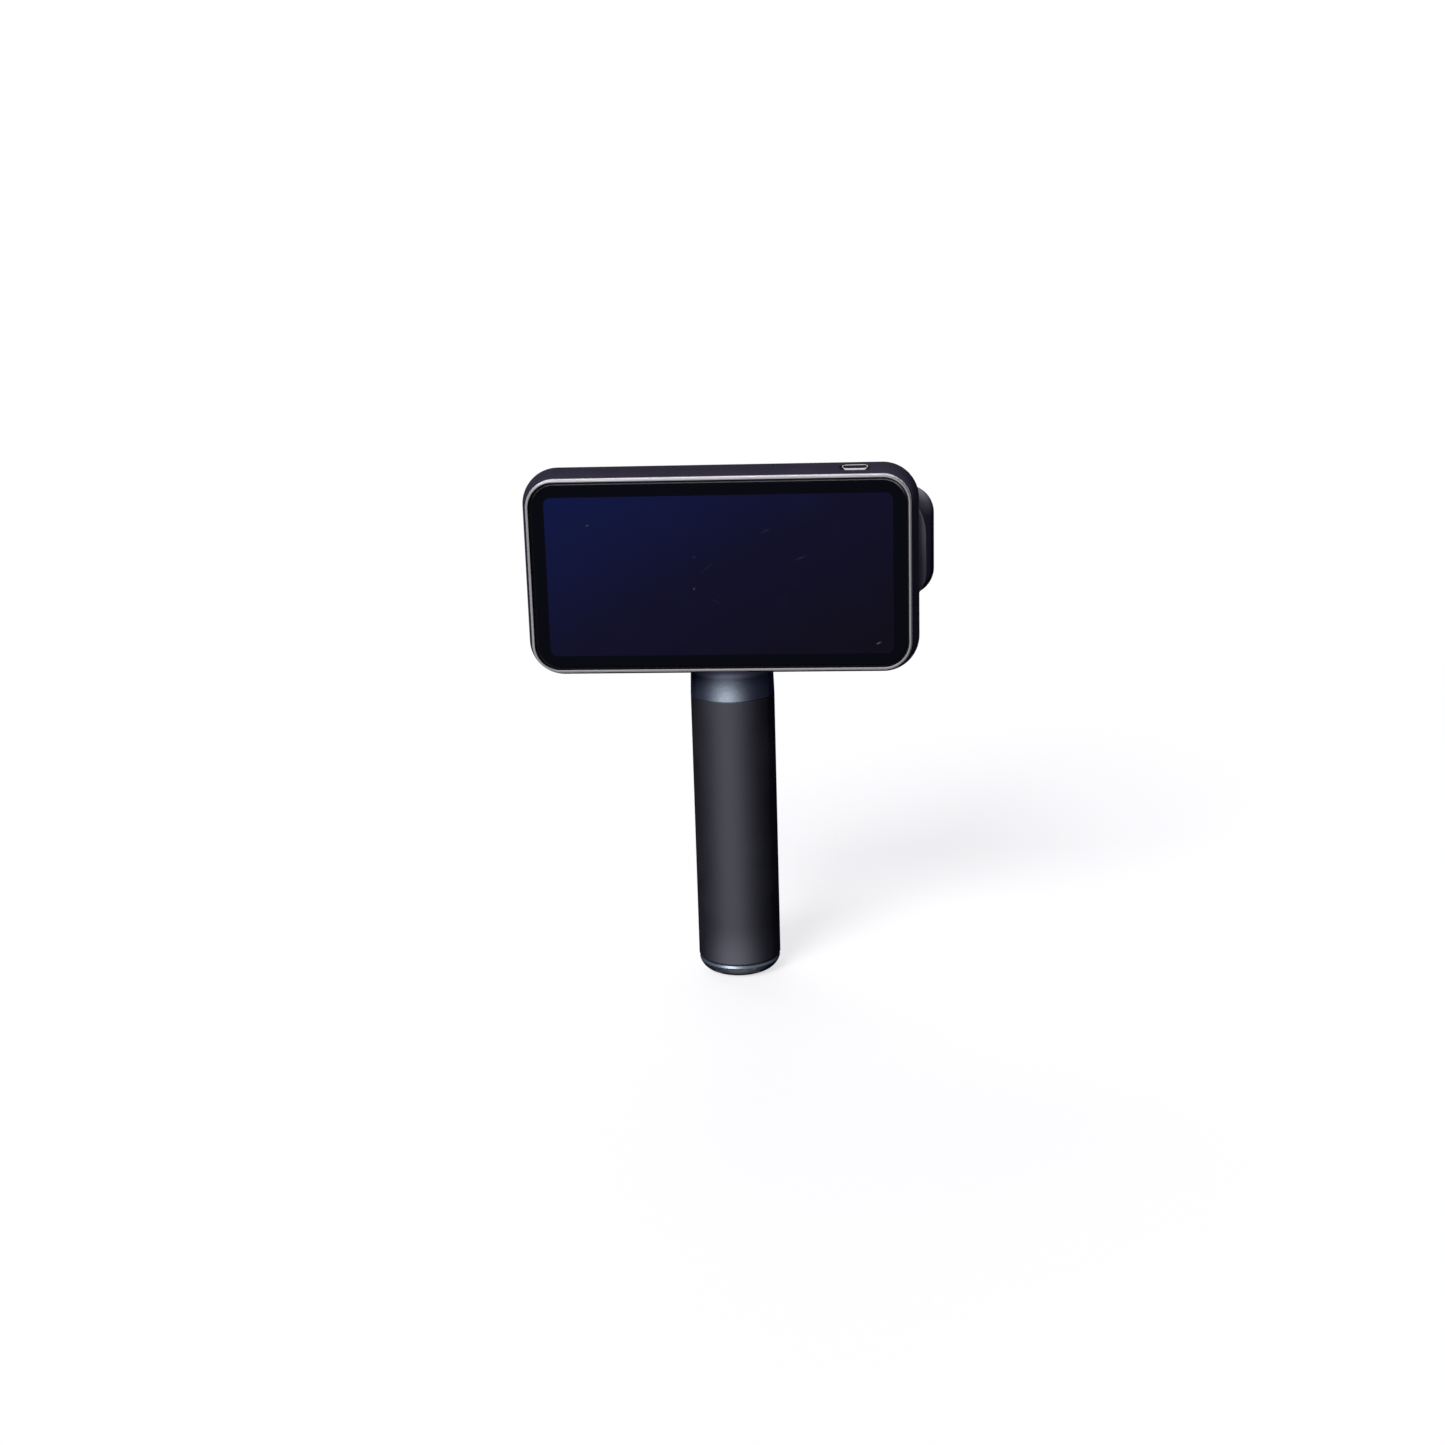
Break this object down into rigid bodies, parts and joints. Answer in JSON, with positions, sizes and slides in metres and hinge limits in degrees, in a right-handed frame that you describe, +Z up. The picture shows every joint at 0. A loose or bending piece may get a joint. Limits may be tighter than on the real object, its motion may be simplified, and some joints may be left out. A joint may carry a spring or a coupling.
{
  "type": "microchip scanner",
  "caption": "Handheld microchip scanner: a wide touch-screen head with an antenna pod behind its right side, on an upright round grip with a turn-off battery cap.",
  "frame": {"origin": "centre of the foot's bottom face, on the handle's axis", "axes": "+Z up along the handle, -Y the way the screen faces, +X to the right of someone who looks at the screen"},
  "size_m": [0.1601, 0.0434, 0.2091],
  "materials": {
    "bezel_silver": "satin",
    "screen_glass": "gloss",
    "display_dark": "gloss",
    "gasket_black": "matte",
    "flex_amber": "satin",
    "frame_metal": "brushed",
    "board_green": "satin",
    "shield_metal": "satin",
    "screw_steel": "satin",
    "inner_black": "matte",
    "port_steel": "satin",
    "shell_charcoal": "satin",
    "saddle_grey": "satin",
    "key_silver": "satin",
    "coil_copper": "satin",
    "ferrite_grey": "matte",
    "lead_red": "satin",
    "collar_blue": "satin anodised",
    "grip_rubber": "matte",
    "tube_metal": "brushed",
    "contact_brass": "polished",
    "cell_wrap": "wrapped in film",
    "spring_steel": "bright",
    "ring_chrome": "polished",
    "cap_blue": "satin anodised"
  },
  "bodies": {
    "scanner": {"front_bezel": "bezel_silver", "cover_glass": "screen_glass", "glass_gasket": "gasket_black", "display_panel": "display_dark", "display_flex": "flex_amber", "mid_frame": "frame_metal", "main_board": "board_green", "processor_shield": "shield_metal", "board_screws": "screw_steel", "speaker": "inner_black", "usb_port": "port_steel", "rear_housing": "shell_charcoal", "housing_screws": "screw_steel", "key_board": "board_green", "key_switch": "inner_black", "antenna_base": "saddle_grey", "antenna_front": "shell_charcoal", "antenna_back": "shell_charcoal", "antenna_screws": "screw_steel", "reader_board": "board_green", "antenna_bobbin": "inner_black", "antenna_coil": "coil_copper", "ferrite_core": "ferrite_grey", "antenna_lead": "lead_red", "handle_collar": "collar_blue", "neck_screws": "screw_steel", "grip_sleeve": "grip_rubber", "handle_tube": "tube_metal", "contact_holder": "inner_black", "contact_pin": "contact_brass", "power_lead": "lead_red", "battery_cell": "cell_wrap", "base_ring": "ring_chrome"},
    "key": {"power_key": "key_silver"},
    "cap": {"battery_spring": "spring_steel", "base_cap": "cap_blue", "base_seal": "gasket_black", "foot_pad": "gasket_black"}
  },
  "joints": [
    {"name": "key_press", "type": "slide", "parent": "scanner", "child": "key", "axis": [0, 0, -1], "range_m": [0, 0.0005], "stiffness_N_per_m": 2000},
    {"name": "cap_turn", "type": "hinge", "parent": "scanner", "child": "cap", "pos_m": [0, 0, 0], "axis": [0, 0, 1], "range_deg": [0, 60]}
  ]
}
